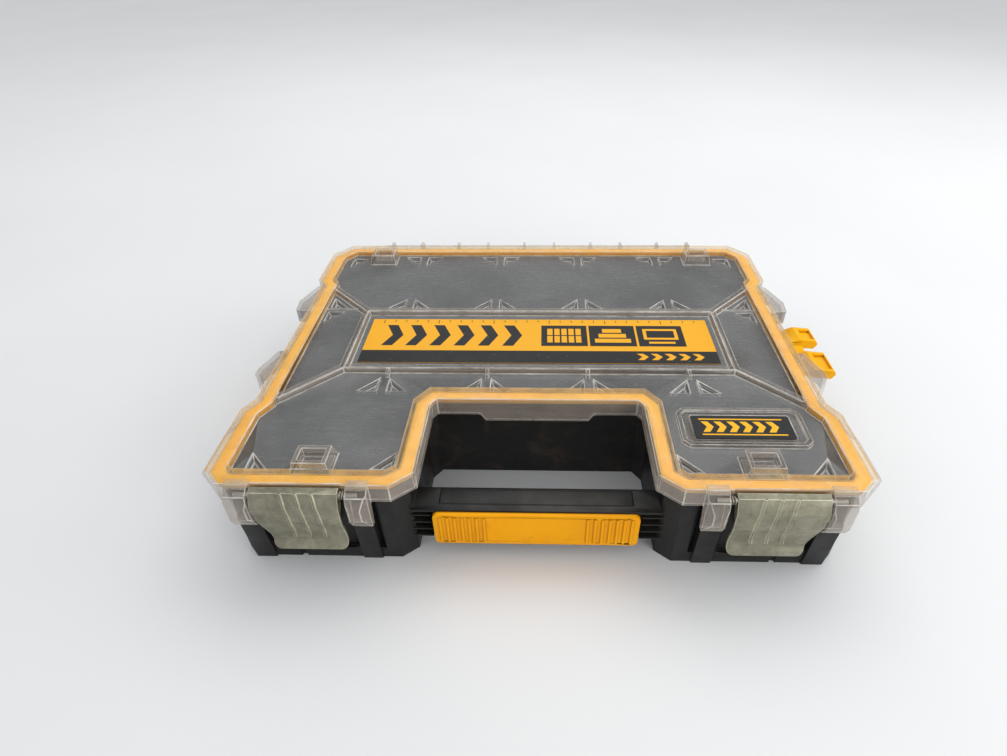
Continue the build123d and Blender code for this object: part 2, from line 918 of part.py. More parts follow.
def hinge_ear_plate(x0, x1):
    """One thin lid ear that holds the end of a hinge pin."""
    rim = back_y + rim_outer
    outline = [
        (rim - 1, skirt_low),
        (hinge_y - 3.0, hinge_z - 3.0),
        (hinge_y + hinge_ear_radius - 0.3, hinge_z),
        (hinge_y + hinge_ear_radius - 1.0, lid_top - 2.0),
        (hinge_y + 1.0, lid_top + 0.2),
        (rim - 1, lid_top - 0.2),
    ]
    with BuildPart() as ear:
        add(side_profile(outline, x0, x1))
        add(rod_x(hinge_y, hinge_z, hinge_ear_radius, x0, x1))
    return ear.part


def pocket_cups():
    """Solid cups round the triangular corner pockets."""
    with BuildPart() as cups:
        with BuildSketch(Plane.XY.offset(panel_low + 0.5)):
            for corner in pocket_corners():
                Polygon(pocket_sketch(corner, 0), align=None)
        extrude(amount=-(0.5 + pocket_depth - lid_thick + pocket_wall), taper=pocket_slope - 8)
    return cups.part


def pocket_hollows():
    """Hollows of the triangular corner pockets."""
    with BuildPart() as hollows:
        with BuildSketch(Plane.XY.offset(panel_top)):
            for corner in pocket_corners():
                Polygon(pocket_sketch(corner, -0.6), align=None)
        extrude(amount=-pocket_depth, taper=pocket_slope)
    return hollows.part


def badge_outline(grow):
    """Chamfered rectangle round the badge, enlarged by grow."""
    x1 = badge_frame_x / 2 + grow
    y1 = badge_frame_y / 2 + grow
    cut = badge_chamfer + 0.4 * grow
    points = [(x1 - cut, y1), (x1, y1 - cut), (x1, cut - y1), (x1 - cut, -y1)]
    return [(badge_x + x, badge_y + y) for x, y in points + [(-x, y) for x, y in reversed(points)]]


def badge_frame():
    """Double frame round the badge, with a low step inside it."""
    with BuildPart() as frame:
        with BuildSketch(Plane.XY.offset(panel_top - 0.5)):
            Polygon(badge_outline(0), align=None)
            Polygon(badge_outline(-badge_ring), align=None, mode=Mode.SUBTRACT)
        extrude(amount=badge_height + 0.5)
        with BuildSketch(Plane.XY.offset(panel_top - 0.5)):
            Polygon(badge_outline(-badge_ring), align=None)
        extrude(amount=badge_plate_z + 0.5)
    return frame.part


def badge_seat():
    """Shallow seat of the badge plate."""
    with BuildPart() as seat:
        with BuildSketch(Plane.XY.offset(panel_top + badge_plate_z - badge_seat_depth)):
            with Locations((badge_x, badge_y)):
                RectangleRounded(
                    badge_plate_x + 2 * badge_seat_clear,
                    badge_plate_y + 2 * badge_seat_clear,
                    badge_corner + badge_seat_clear,
                )
        extrude(amount=2.0)
    return seat.part


def ring(outer, inner, low, high):
    """A closed ring that follows the lid's outline."""
    with BuildPart() as loop:
        with BuildSketch(Plane.XY.offset(low)):
            Polygon(grown(outer), align=None)
            Polygon(grown(inner), align=None, mode=Mode.SUBTRACT)
        extrude(amount=high - low)
    return loop.part


def label():
    """Thin printed label on the floor of the label frame."""
    x1 = ridge_half_x - ridge_width - label_margin_x
    y0 = ridge_front + ridge_width + label_margin_front
    y1 = ridge_back - ridge_width - label_margin_back
    return block(-x1, x1, y0, y1, panel_top, panel_top + label_thick)


def badge():
    """Thin badge plate in its seat."""
    low = panel_top + badge_plate_z - badge_seat_depth
    with BuildPart() as plate:
        with BuildSketch(Plane.XY.offset(low)):
            with Locations((badge_x, badge_y)):
                RectangleRounded(badge_plate_x, badge_plate_y, badge_corner)
        extrude(amount=badge_thick)
    return plate.part


def latch_outline(inset):
    """Side view of the latch plate's outer face, moved inwards by inset."""
    front = latch_face + inset
    return [
        (pivot_y + 3.0, latch_top - 0.6 * inset),
        (pivot_y - 1.2 + 0.6 * inset, latch_top - 1.2 - inset),
        (front + 0.3, pivot_z - 6.5 - 0.4 * inset),
        (front - 0.3, pivot_z - 20.0),
        (front + latch_dish, latch_shoulder + 1.0),
        (front + latch_dish, latch_shoulder - 4.0 + 0.2 * inset),
        (front - 0.4, latch_bottom),
    ]


def latch_front(side):
    """Front view of a latch: wide at the pin, with a narrower tab that has rounded corners."""
    tab_out = latch_in + latch_tab_width
    outline = [
        (side * latch_in, latch_top + 1),
        (side * latch_out, latch_top + 1),
        (side * latch_out, pivot_z - latch_wide_part),
        (side * (tab_out + 0.6), latch_shoulder),
        (side * tab_out, latch_shoulder - 3.0),
        (side * tab_out, latch_bottom),
        (side * latch_in, latch_bottom),
    ]
    with BuildPart() as view:
        with BuildSketch(Plane.XZ.offset(-lug_front + 3)) as front:
            Polygon(outline, align=None)
            fillet(front.vertices().group_by(Axis.Y)[0], radius=latch_corner)
        extrude(amount=-40)
    return view.part


def latch_ribs(side):
    """Upright ribs with a slight sway, pressed out of the latch plate."""
    outline = latch_outline(-latch_rib_height) + list(reversed(latch_outline(latch_thick / 2)))
    half = latch_rib_width / 2
    with BuildPart() as ribs:
        for place in latch_rib_places:
            line = [
                (latch_x + place - sway, latch_shoulder + share * (latch_top - latch_shoulder))
                for share, sway in latch_rib_line
            ]
            with BuildSketch(Plane.XZ.offset(-lug_front + 3)):
                with BuildLine():
                    near = Spline([(side * (x - half), z) for x, z in line])
                    far = Spline([(side * (x + half), z) for x, z in line])
                    Line(near @ 0, far @ 0)
                    Line(near @ 1, far @ 1)
                make_face()
            extrude(amount=-40)
        x0, x1 = sorted((side * latch_in, side * latch_out))
        add(side_profile(outline, x0, x1), mode=Mode.INTERSECT)
    return ribs.part


def latch(side):
    """Pressed metal latch plate with ribs, side flanges round its pin and a bead behind it."""
    with BuildPart() as plate:
        outline = latch_outline(0) + list(reversed(latch_outline(latch_thick)))
        x0, x1 = sorted((side * latch_in, side * latch_out))
        add(side_profile(outline, x0, x1))
        for edge, inward in ((latch_in, 1), (latch_out, -1)):
            x0, x1 = sorted((side * edge, side * (edge + inward * latch_flange)))
            flange = [
                (pivot_y + 2.0, latch_top - 1.0),
                (lug_front + 1.0, pivot_z + 0.5),
                (lug_front + 1.0, pivot_z - 17.0),
                (pivot_y + 1.0, pivot_z - 9.0),
                (pivot_y + latch_flange_radius - 0.4, pivot_z),
            ]
            add(side_profile(flange, x0, x1))
            add(rod_x(pivot_y, pivot_z, latch_flange_radius, x0, x1))
        half = catch_half - 2.0
        x0, x1 = sorted((side * (latch_x - half), side * (latch_x + half)))
        back = pivot_y + bead_reach
        root = latch_face + latch_dish + latch_thick - 0.5
        bead = [
            (root, bead_height - 4.5),
            (back, bead_height - 2.0),
            (back, bead_height - 0.5),
            (root, bead_height + 2.5),
        ]
        add(side_profile(bead, x0, x1))
        add(latch_front(side), mode=Mode.INTERSECT)
        room = pivot_y + latch_flange_radius + bead_reach
        behind = latch_outline(0) + [(room, latch_bottom), (room, latch_top)]
        x0, x1 = sorted((side * (latch_in - 1), side * (latch_out + 1)))
        add(side_profile(behind, x0, x1), mode=Mode.INTERSECT)
        add(latch_ribs(side))
        add(rod_x(pivot_y, pivot_z, pin_radius + pin_clear, side * latch_in - 30, side * latch_in + 30),
            mode=Mode.SUBTRACT)
        add(rod_x(pivot_y, pivot_z, pin_radius + pin_clear, side * latch_out - 30, side * latch_out + 30),
            mode=Mode.SUBTRACT)
    return plate.part


spring_radius = pin_radius + spring_clear + spring_wire / 2


def coil_points(turns, steps):
    """Points and tangents along a helix about the X axis."""
    rise = spring_pitch / (2 * pi)
    spots = []
    for i in range(turns * steps + 1):
        angle = 2 * pi * i / steps
        place = Vector(rise * angle, spring_radius * cos(angle), spring_radius * sin(angle))
        tangent = Vector(rise, -spring_radius * sin(angle), spring_radius * cos(angle)).normalized()
        spots.append((place, tangent))
    return spots


def least_coil_gap(steps):
    """Least gap between points of the wire that lie over half a turn apart."""
    places = [place for place, _ in coil_points(spring_turns, steps)]
    apart = steps // 2
    gaps = [
        (places[i] - places[j]).length
        for i in range(len(places))
        for j in range(i + apart, len(places))
    ]
    return min(gaps) - spring_wire


def biarc_middle(p, t, q, u):
    """Point where the two arcs of a biarc meet."""
    v = q - p
    both = t + u
    a = 2 * (t.dot(u) - 1)
    b = -2 * v.dot(both)
    c = v.dot(v)
    d = (-b - (b * b - 4 * a * c) ** 0.5) / (2 * a)
    return ((p + t * d) + (q - u * d)) * 0.5


def spring(side):
    """Torsion spring on the latch pin, between the latch and the inner lug."""
    start = inner_lug[1] + (inner_lug_gap - spring_turns * spring_pitch) / 2
    spots = coil_points(spring_turns, 4)
    with BuildPart() as coil:
        with BuildLine() as path:
            for (p, t), (q, u) in zip(spots, spots[1:]):
                middle = biarc_middle(p, t, q, u)
                first = TangentArc([p, middle], tangent=t)
                TangentArc([middle, q], tangent=first % 1)
        with BuildSketch(Plane(origin=spots[0][0], z_dir=spots[0][1])):
            Circle(spring_wire / 2)
        sweep(path=path.line)
    placed = Pos(start, pivot_y, pivot_z) * coil.part
    return placed if side > 0 else placed.mirror(Plane.YZ)


def pin(side):
    """Latch pin between the two lugs."""
    x0, x1 = sorted((side * (inner_lug[1] - pin_seat), side * (outer_lug[0] + pin_seat)))
    return rod_x(pivot_y, pivot_z, pin_radius, x0, x1)


def rear_pins():
    """The five hinge pins."""
    reach = knuckle_width / 2
    with BuildPart() as pins:
        for x in knuckle_centres:
            add(rod_x(hinge_y, hinge_z, hinge_pin_radius, x - reach, x + reach))
    return pins.part


def side_latch():
    """Right-hand side latch, swung out: two wings with pockets on a bridging body."""
    half = side_latch_length / 2
    y0, y1 = side_latch_y - half, side_latch_y + half
    gap = side_knuckle / 2 + hinge_gap
    top = side_axis_z + 1.0
    root = side_axis_x + side_barrel_radius + 1.2
    reach = side_axis_x + side_reach
    with BuildPart() as wing_latch:
        for a, b in ((y0, side_latch_y - gap), (side_latch_y + gap, y1)):
            add(rod_y(side_axis_x, side_axis_z, side_barrel_radius, a, b))
            add(block(side_axis_x, root + 1, a, b, top - side_thick, top))
        add(block(root, reach, y0 + 1.5, y1 - 1.5, top - side_thick, top))
        for a, b in ((y0, y0 + side_wing_length + 6), (y1 - side_wing_length, y1)):
            profile = [
                (reach - 9, top - side_thick),
                (reach - 9, top),
                (reach - 2, top + side_rise),
                (reach + side_wing - 2, top + side_rise - 1.5),
                (reach + side_wing, top - 2.0),
                (reach + side_wing - 3, top - side_thick - 2.5),
            ]
            add(front_profile(profile, a, b))
            add(block(reach + 1.5, reach + side_wing - 3.0, a + 3.5, b - 3.5, top - 0.5, top + 6),
                mode=Mode.SUBTRACT)
        middle = [
            (root + 3, top - 1.2),
            (root + 3, top + 4),
            (reach + 1, top + 4),
            (reach + 1, top - 1.2),
        ]
        dip = (y0 + side_wing_length + 7.5, y1 - side_wing_length - 1.5)
        add(front_profile(middle, *dip), mode=Mode.SUBTRACT)
        add(rod_y(side_axis_x, side_axis_z, pin_radius + pin_clear, y0 - 5, y1 + 5), mode=Mode.SUBTRACT)
    return wing_latch.part


def folded_side_latch():
    """Left-hand side latch: the mirror image, turned down against the wall."""
    axis = Axis((side_axis_x, 0, side_axis_z), (0, 1, 0))
    return side_latch().rotate(axis, folded_turn).mirror(Plane.YZ)


def side_pin(side):
    """Pin of a side latch."""
    half = side_latch_length / 2 - 2.0
    return rod_y(side * side_axis_x, side_axis_z, pin_radius, side_latch_y - half, side_latch_y + half)


def save(part, name):
    """Label a finished piece and write it."""
    part.label = name
    export_step(part, f"parts/{name}.step")


print("least gap of the spring to itself", round(least_coil_gap(48), 3))
save(tub(), "base_tub")
save(grip(), "handle_grip")
save(rear_pins(), "hinge_pins")
for row in bin_rows:
    tray = parts_bin(row)
    for column in range(bin_columns):
        x = bin_pitch * (column - (bin_columns - 1) / 2)
        save(Pos(x, 0, 0) * tray, f"bin_{row}_{column + 1}")
save(lid(), "lid_shell")
save(ring(frame_width - frame_clear, frame_clear, gasket_top, frame_top), "lid_seal_frame")
middle_wall = tub_inner + tub_wall / 2
save(
    ring(middle_wall + gasket_width / 2, middle_wall - gasket_width / 2, tub_height, gasket_top),
    "lid_gasket",
)
save(label(), "lid_label")
save(badge(), "badge_plate")
for side, word in ((-1, "left"), (1, "right")):
    save(latch(side), f"latch_{word}")
    save(pin(side), f"latch_pin_{word}")
    save(spring(side), f"latch_spring_{word}")
    save(side_pin(side), f"side_latch_pin_{word}")
save(side_latch(), "side_latch_right")
save(folded_side_latch(), "side_latch_left")
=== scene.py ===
"""Looks of the stackable parts organizer: soft edges, plastics, metal, printed label, light and camera."""

import json
from math import radians

import bmesh
import bpy
from mathutils import Matrix, Vector
from mathutils.bvhtree import BVHTree


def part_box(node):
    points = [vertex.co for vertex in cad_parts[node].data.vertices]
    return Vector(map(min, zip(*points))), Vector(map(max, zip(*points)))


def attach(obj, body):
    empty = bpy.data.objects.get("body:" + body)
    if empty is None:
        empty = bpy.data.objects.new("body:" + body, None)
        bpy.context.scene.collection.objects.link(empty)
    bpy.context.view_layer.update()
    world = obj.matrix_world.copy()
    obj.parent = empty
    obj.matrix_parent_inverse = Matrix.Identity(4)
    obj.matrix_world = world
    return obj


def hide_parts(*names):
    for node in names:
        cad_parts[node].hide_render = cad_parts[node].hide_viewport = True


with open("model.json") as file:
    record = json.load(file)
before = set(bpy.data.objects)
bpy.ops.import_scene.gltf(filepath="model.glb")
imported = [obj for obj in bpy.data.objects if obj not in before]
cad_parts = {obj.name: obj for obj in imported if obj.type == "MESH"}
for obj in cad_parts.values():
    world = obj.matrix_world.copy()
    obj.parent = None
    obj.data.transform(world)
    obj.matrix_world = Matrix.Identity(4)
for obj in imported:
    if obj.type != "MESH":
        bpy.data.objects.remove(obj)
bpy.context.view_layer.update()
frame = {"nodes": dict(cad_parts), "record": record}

MM = 0.001
nodes = frame["nodes"]
bodies = frame["record"]["behaviour"]["bodies"]
body_of = {node: body for body, members in bodies.items() for node in members}

# Camera of the photograph: place, turn as rows of right, down and forward, and lens
camera_place = Vector((0.00265, -0.4228, 0.3600))
camera_right = Vector((0.99950, 0.02844, -0.01357))
camera_down = Vector((0.00695, -0.61897, -0.78538))
camera_forward = Vector((-0.03073, 0.78490, -0.61886))
camera_lens = 21.85
camera_sensor = 36.0
camera_shift = (-0.01837, 0.00645)

# Clean meshes: points closer than the gap are one, a flat face turns less than flat_turn inside, and
# no_normal is the turn given for a face without a normal, which is never flat
weld_gap = 0.002 * MM
flat_turn = radians(0.6)
no_normal = 9

# Rounded edges: turn from which an edge is rounded, material slot of the new faces, and widths
sharp_turn = radians(28)
edge_slot = 1
fine_edge = 0.3 * MM
soft_edge = 0.5 * MM
seal_edge = 2.0 * MM

# Lid: step past a face that a ray has met, faces that a ray meets in one wall of the seal frame, slack
# under the label for the panel, and the distances from the seal frame within which the lid's rim, and
# other faces beside the frame, are painted amber as painted light of the frame seen through them
ray_step = 0.01 * MM
faces_per_wall = 2
panel_margin = 0.1 * MM
rim_reach = 7.0 * MM
painted_amber_reach = 4.5 * MM

# Lug caps, in mm: spans along X, profile as (y from the tub's front, z from the rim's top), and the
# rim's top above the seal frame and the cap's rounded edge in metres
lug_cap_spans = ((-193.4, -179.0), (-117.3, -103.8), (103.8, 117.3), (179.0, 193.4))
lug_cap_profile = [(2.3, -0.1), (2.0, 0.45), (-2.2, 0.6), (-4.6, -1.2), (-4.6, -2.0), (-2.2, -0.3)]
rim_rise = 2.4 * MM
lug_cap_edge = 0.2 * MM

# Print: thickness of one layer, gap that keeps strips apart, and the black of the ink
ink_film = 0.06 * MM
hair = 0.02 * MM
ink_black = (0.014, 0.014, 0.015)

# Pictograms: margin inside the panel and gap around each shape, as shares of the height and of the shape
picture_margin, shape_gap = 0.14, 0.12

# Most noise lies between these two values
noise_low, noise_high = 0.3, 0.7

# The mix node has several sockets with one name: numbers of its colour inputs and output
mix_first, mix_second, mix_result = 6, 7, 2

# Stage: half the floor's side, and the sky's strength and its colours, level, overhead and for the camera
floor_half = 30.0
sky_strength = 0.92
sky_level, sky_overhead, sky_seen = (0.90, 0.91, 0.92), (0.72, 0.73, 0.74), (0.66, 0.67, 0.68)


# Node helpers
def new_material(name):
    """A node material with its tree, its Principled shader and the object's coordinates."""
    material = bpy.data.materials.new(name)
    material.use_nodes = True
    tree = material.node_tree
    shader = tree.nodes["Principled BSDF"]
    coords = tree.nodes.new("ShaderNodeTexCoord").outputs["Object"]
    return material, tree, shader, coords


def plug(tree, socket, value):
    """A socket's input, as a link, a number or an RGB triple."""
    if isinstance(value, (int, float)):
        socket.default_value = value
    elif isinstance(value, tuple):
        socket.default_value = (*value, 1.0)
    else:
        tree.links.new(value, socket)


def stretched(tree, coords, by):
    """Object coordinates, scaled by axis."""
    mapping = tree.nodes.new("ShaderNodeMapping")
    mapping.inputs["Scale"].default_value = by
    tree.links.new(coords, mapping.inputs["Vector"])
    return mapping.outputs["Vector"]


def noise(tree, coords, scale, detail=3.0, roughness=0.5, distortion=0.0):
    """Fractal noise as a value."""
    node = tree.nodes.new("ShaderNodeTexNoise")
    node.inputs["Scale"].default_value = scale
    node.inputs["Detail"].default_value = detail
    node.inputs["Roughness"].default_value = roughness
    node.inputs["Distortion"].default_value = distortion
    tree.links.new(coords, node.inputs["Vector"])
    return node.outputs["Fac"]


def cells(tree, coords, scale):
    """Distance to the nearest cell centre."""
    node = tree.nodes.new("ShaderNodeTexVoronoi")
    node.inputs["Scale"].default_value = scale
    tree.links.new(coords, node.inputs["Vector"])
    return node.outputs["Distance"]


def spread(tree, value, low, high, out_low=0.0, out_high=1.0):
    """Value mapped from one range to another and clamped."""
    node = tree.nodes.new("ShaderNodeMapRange")
    node.inputs["From Min"].default_value = low
    node.inputs["From Max"].default_value = high
    node.inputs["To Min"].default_value = out_low
    node.inputs["To Max"].default_value = out_high
    tree.links.new(value, node.inputs["Value"])
    return node.outputs["Result"]


def patches(tree, coords, low, high, amount=1.0, **pattern):
    """Patches of noise: nothing below the low value, the full amount above the high one."""
    return spread(tree, noise(tree, coords, **pattern), low, high, out_high=amount)


def calculate(tree, operation, first, second=None):
    """One math node; each input is a link or a number."""
    node = tree.nodes.new("ShaderNodeMath")
    node.operation = operation
    plug(tree, node.inputs[0], first)
    if second is not None:
        plug(tree, node.inputs[1], second)
    return node.outputs[0]


def mixed(tree, factor, first, second):
    """Blend of two colours, each a link or an RGB triple."""
    node = tree.nodes.new("ShaderNodeMix")
    node.data_type = "RGBA"
    plug(tree, node.inputs["Factor"], factor)
    plug(tree, node.inputs[mix_first], first)
    plug(tree, node.inputs[mix_second], second)
    return node.outputs[mix_result]


def bumped(tree, shader, height, distance, strength):
    """Bump of a height in metres on the shader's normal."""
    node = tree.nodes.new("ShaderNodeBump")
    node.inputs["Strength"].default_value = strength
    node.inputs["Distance"].default_value = distance
    tree.links.new(height, node.inputs["Height"])
    tree.links.new(node.outputs["Normal"], shader.inputs["Normal"])


def roughened(tree, shader, pattern, smooth, rough):
    """Roughness between two values, by a pattern of noise."""
    plug(tree, shader.inputs["Roughness"], spread(tree, pattern, noise_low, noise_high, smooth, rough))


def axis_value(tree, vector, axis):
    """One component of a vector."""
    split = tree.nodes.new("ShaderNodeSeparateXYZ")
    tree.links.new(vector, split.inputs["Vector"])
    return split.outputs[axis]


def normal_height(tree):
    """How far the surface's normal points up, from -1 to 1."""
    return axis_value(tree, tree.nodes.new("ShaderNodeNewGeometry").outputs["Normal"], "Z")


def upward(tree):
    """How much a surface faces up, from 0 to 1."""
    return spread(tree, normal_height(tree), low=0.2, high=1.0)


def standing(tree):
    """How much a surface stands upright, from 0 to 1."""
    level = calculate(tree, "ABSOLUTE", normal_height(tree))
    return spread(tree, level, low=0.35, high=0.95, out_low=1.0, out_high=0.0)


# Materials
def black_moulding(name, base, dust, dust_amount):
    """Grained black plastic with a film of dust on top, pale specks, scratches and brown smudges."""
    material, tree, shader, coords = new_material(name)
    pale_speck, grey_scratch, brown_smudge = (0.30, 0.28, 0.25), (0.20, 0.20, 0.20), (0.085, 0.050, 0.030)
    speck_share, scratch_share = 0.5, 0.12
    film = patches(
        tree, coords, low=0.42, high=0.75, amount=dust_amount, scale=24.0, detail=6.0, roughness=0.65,
        distortion=0.6
    )
    facing = spread(tree, upward(tree), low=0.0, high=1.0, out_low=0.30)
    film = calculate(tree, "MULTIPLY", film, facing)
    speck = spread(tree, cells(tree, coords, scale=420.0), low=0.10, high=0.06)
    thin_out = patches(tree, coords, low=0.55, high=0.62, scale=60.0, detail=2.0)
    speck = calculate(tree, "MULTIPLY", speck, thin_out)
    along = stretched(tree, coords, by=(30.0, 400.0, 260.0))
    scratch = patches(tree, along, low=0.66, high=0.74, amount=0.35, scale=3.0, detail=4.0)
    colour = mixed(tree, film, base, dust)
    colour = mixed(tree, calculate(tree, "MULTIPLY", speck, speck_share), colour, pale_speck)
    colour = mixed(tree, calculate(tree, "MULTIPLY", scratch, scratch_share), colour, grey_scratch)
    smudge = patches(
        tree, coords, low=0.50, high=0.72, amount=0.55, scale=36.0, detail=7.0, roughness=0.7,
        distortion=0.8
    )
    # The smudges keep to the depth of the wall behind the handle gap, and fade out on both sides of it
    for outside, inside in ((-0.100, -0.096), (-0.066, -0.070)):
        fade = spread(tree, axis_value(tree, coords, "Y"), outside, inside)
        smudge = calculate(tree, "MULTIPLY", smudge, fade)
    smudge = calculate(tree, "MULTIPLY", smudge, standing(tree))
    colour = mixed(tree, smudge, colour, brown_smudge)
    plug(tree, shader.inputs["Base Color"], colour)
    shader.inputs["Specular IOR Level"].default_value = 0.35
    wear = noise(tree, coords, scale=55.0, detail=5.0, roughness=0.6)
    roughened(tree, shader, wear, smooth=0.34, rough=0.58)
    bumped(tree, shader, noise(tree, coords, scale=1500.0, detail=2.0), distance=0.00012, strength=0.5)
    return material


def clear_plastic(name, tint, least, most, wall):
    """Clear plastic, denser where it stands upright or is seen edge on, with haze, scratches and dirt."""
    material, tree, shader, coords = new_material(name)
    dirt_shade, grazing_power, scratch_height, thickest = 0.7, 1.6, 1.5, 0.9
    dirt = patches(tree, coords, low=0.50, high=0.72, scale=38.0, detail=6.0, roughness=0.7, distortion=0.8)
    plug(tree, shader.inputs["Base Color"], mixed(tree, dirt, tint, tuple(dirt_shade * c for c in tint)))
    facing = tree.nodes.new("ShaderNodeLayerWeight")
    facing.inputs["Blend"].default_value = 0.30
    grazing = calculate(tree, "POWER", facing.outputs["Facing"], grazing_power)
    edge = spread(tree, grazing, low=0.0, high=1.0, out_low=least, out_high=most)
    along = stretched(tree, coords, by=(60.0, 420.0, 300.0))
    scratch = patches(tree, along, low=0.64, high=0.74, amount=0.06, scale=4.0, detail=4.0)
    haze = patches(
        tree, coords, low=0.45, high=0.8, amount=2 * least, scale=70.0, detail=5.0, roughness=0.65
    )
    upright = calculate(tree, "MULTIPLY", standing(tree), wall)
    alpha = calculate(tree, "ADD", edge, calculate(tree, "ADD", scratch, haze))
    alpha = calculate(tree, "ADD", alpha, upright)
    plug(tree, shader.inputs["Alpha"], calculate(tree, "MINIMUM", alpha, thickest))
    shader.inputs["Specular IOR Level"].default_value = 1.0
    shader.inputs["IOR"].default_value = 1.58
    roughened(tree, shader, noise(tree, coords, scale=110.0, detail=4.0), smooth=0.07, rough=0.20)
    groove = calculate(tree, "MULTIPLY", scratch, scratch_height)
    wave = calculate(tree, "ADD", noise(tree, coords, scale=90.0, detail=3.0), groove)
    bumped(tree, shader, wave, distance=0.0002, strength=0.3)
    return material


def painted_edge_highlights():
    """Rounded edges of the clear plastic, painted as pale lines of highlight, with the painted highlight
    fainter on the underside.
    """
    material, tree, shader, coords = new_material("lid_edges_painted_highlight")
    # Patches of wear make the painted highlight uneven, paler and denser in places
    worn = patches(tree, coords, low=0.35, high=0.7, scale=55.0, detail=5.0, roughness=0.7)
    dim_highlight_grey, highlight_white = (0.70, 0.65, 0.57), (0.95, 0.92, 0.87)
    plug(tree, shader.inputs["Base Color"], mixed(tree, worn, dim_highlight_grey, highlight_white))
    # The painted highlight fades on faces that point down
    above = spread(tree, normal_height(tree), low=-0.7, high=-0.1, out_low=0.20)
    alpha = spread(tree, worn, low=0.0, high=1.0, out_low=0.34, out_high=0.72)
    plug(tree, shader.inputs["Alpha"], calculate(tree, "MULTIPLY", alpha, above))
    rough = spread(tree, worn, low=0.0, high=1.0, out_low=0.10, out_high=0.24)
    plug(tree, shader.inputs["Roughness"], rough)
    shader.inputs["Specular IOR Level"].default_value = 1.0
    bumped(tree, shader, worn, distance=0.0001, strength=0.3)
    return material


def scuffed_panel():
    """The lid's flat panel: clear plastic gone grey, with a soft cloud of wear and fine scratches."""
    material, tree, shader, coords = new_material("lid_scuffed_panel")
    dark_grey, pale_grey = (0.130, 0.132, 0.133), (0.200, 0.203, 0.205)
    rubbed_grey, pale_speck = (0.44, 0.44, 0.43), (0.62, 0.59, 0.55)
    wear_share = 0.30
    along = stretched(tree, coords, by=(26.0, 150.0, 60.0))
    across = stretched(tree, coords, by=(170.0, 60.0, 60.0))
    streak = noise(tree, along, scale=2.0, detail=9.0, roughness=0.75)
    crossed = patches(
        tree, across, low=0.60, high=0.85, amount=0.7, scale=2.0, detail=8.0, roughness=0.75, distortion=0.3
    )
    cloud = noise(tree, coords, scale=11.0, detail=6.0, roughness=0.65, distortion=0.4)
    grey = mixed(tree, spread(tree, cloud, noise_low, noise_high), dark_grey, pale_grey)
    wear = calculate(tree, "MAXIMUM", spread(tree, streak, low=0.52, high=0.80), crossed)
    colour = mixed(tree, calculate(tree, "MULTIPLY", wear, wear_share), grey, rubbed_grey)
    speck = spread(tree, cells(tree, coords, scale=300.0), low=0.08, high=0.05)
    thin_out = patches(tree, coords, low=0.58, high=0.64, amount=0.35, scale=45.0, detail=2.0)
    colour = mixed(tree, calculate(tree, "MULTIPLY", speck, thin_out), colour, pale_speck)
    plug(tree, shader.inputs["Base Color"], colour)
    shader.inputs["Specular IOR Level"].default_value = 0.75
    rough = spread(tree, streak, low=0.35, high=0.7, out_low=0.20, out_high=0.34)
    plug(tree, shader.inputs["Roughness"], rough)
    plug(tree, shader.inputs["Alpha"], spread(tree, cloud, low=0.3, high=0.75, out_low=0.53, out_high=0.60))
    bumped(tree, shader, streak, distance=0.00008, strength=0.3)
    return material


def amber_plastic():
    """Satin amber plastic of the seal frame, paler in random patches."""
    material, tree, shader, coords = new_material("seal_amber_plastic")
    amber, paler_amber, brown_stain = (0.98, 0.46, 0.018), (1.0, 0.58, 0.045), (0.55, 0.24, 0.02)
    patch = patches(tree, coords, low=0.35, high=0.7, scale=14.0, detail=5.0, roughness=0.6, distortion=0.4)
    stain = patches(tree, coords, low=0.62, high=0.74, amount=0.25, scale=60.0, detail=4.0, roughness=0.6)
    colour = mixed(tree, stain, mixed(tree, patch, amber, paler_amber), brown_stain)
    plug(tree, shader.inputs["Base Color"], colour)
    roughened(tree, shader, noise(tree, coords, scale=130.0, detail=3.0), smooth=0.32, rough=0.5)
    bumped(tree, shader, noise(tree, coords, scale=700.0, detail=2.0), distance=0.0001, strength=0.4)
    return material


def yellow_plastic(name, base, warm, dirt_amount):
    """Grained yellow plastic with uneven tint, dark dirt, and painted shade in its inner corners and
    grooves.
    """
    material, tree, shader, coords = new_material(name)
    brown_dirt, corner_painted_shade = (0.42, 0.15, 0.005), (0.16, 0.07, 0.004)
    tint = patches(tree, coords, low=0.35, high=0.7, scale=30.0, detail=4.0, roughness=0.6)
    dirt = patches(
        tree, coords, low=0.56, high=0.80, amount=dirt_amount, scale=65.0, detail=9.0, roughness=0.75,
        distortion=0.5
    )
    colour = mixed(tree, dirt, mixed(tree, tint, base, warm), brown_dirt)
    # Painted shade: darker brown in inner corners and grooves, where nearby surfaces close in
    corner = tree.nodes.new("ShaderNodeAmbientOcclusion")
    corner.inputs["Distance"].default_value = 0.0016
    painted_shade_share = spread(tree, corner.outputs["AO"], low=0.55, high=0.95, out_low=0.75, out_high=0.0)
    plug(tree, shader.inputs["Base Color"], mixed(tree, painted_shade_share, colour, corner_painted_shade))
    shader.inputs["Specular IOR Level"].default_value = 0.14
    roughened(tree, shader, noise(tree, coords, scale=90.0, detail=4.0), smooth=0.30, rough=0.50)
    bumped(tree, shader, noise(tree, coords, scale=1100.0, detail=2.0), distance=0.0001, strength=0.5)
    return material


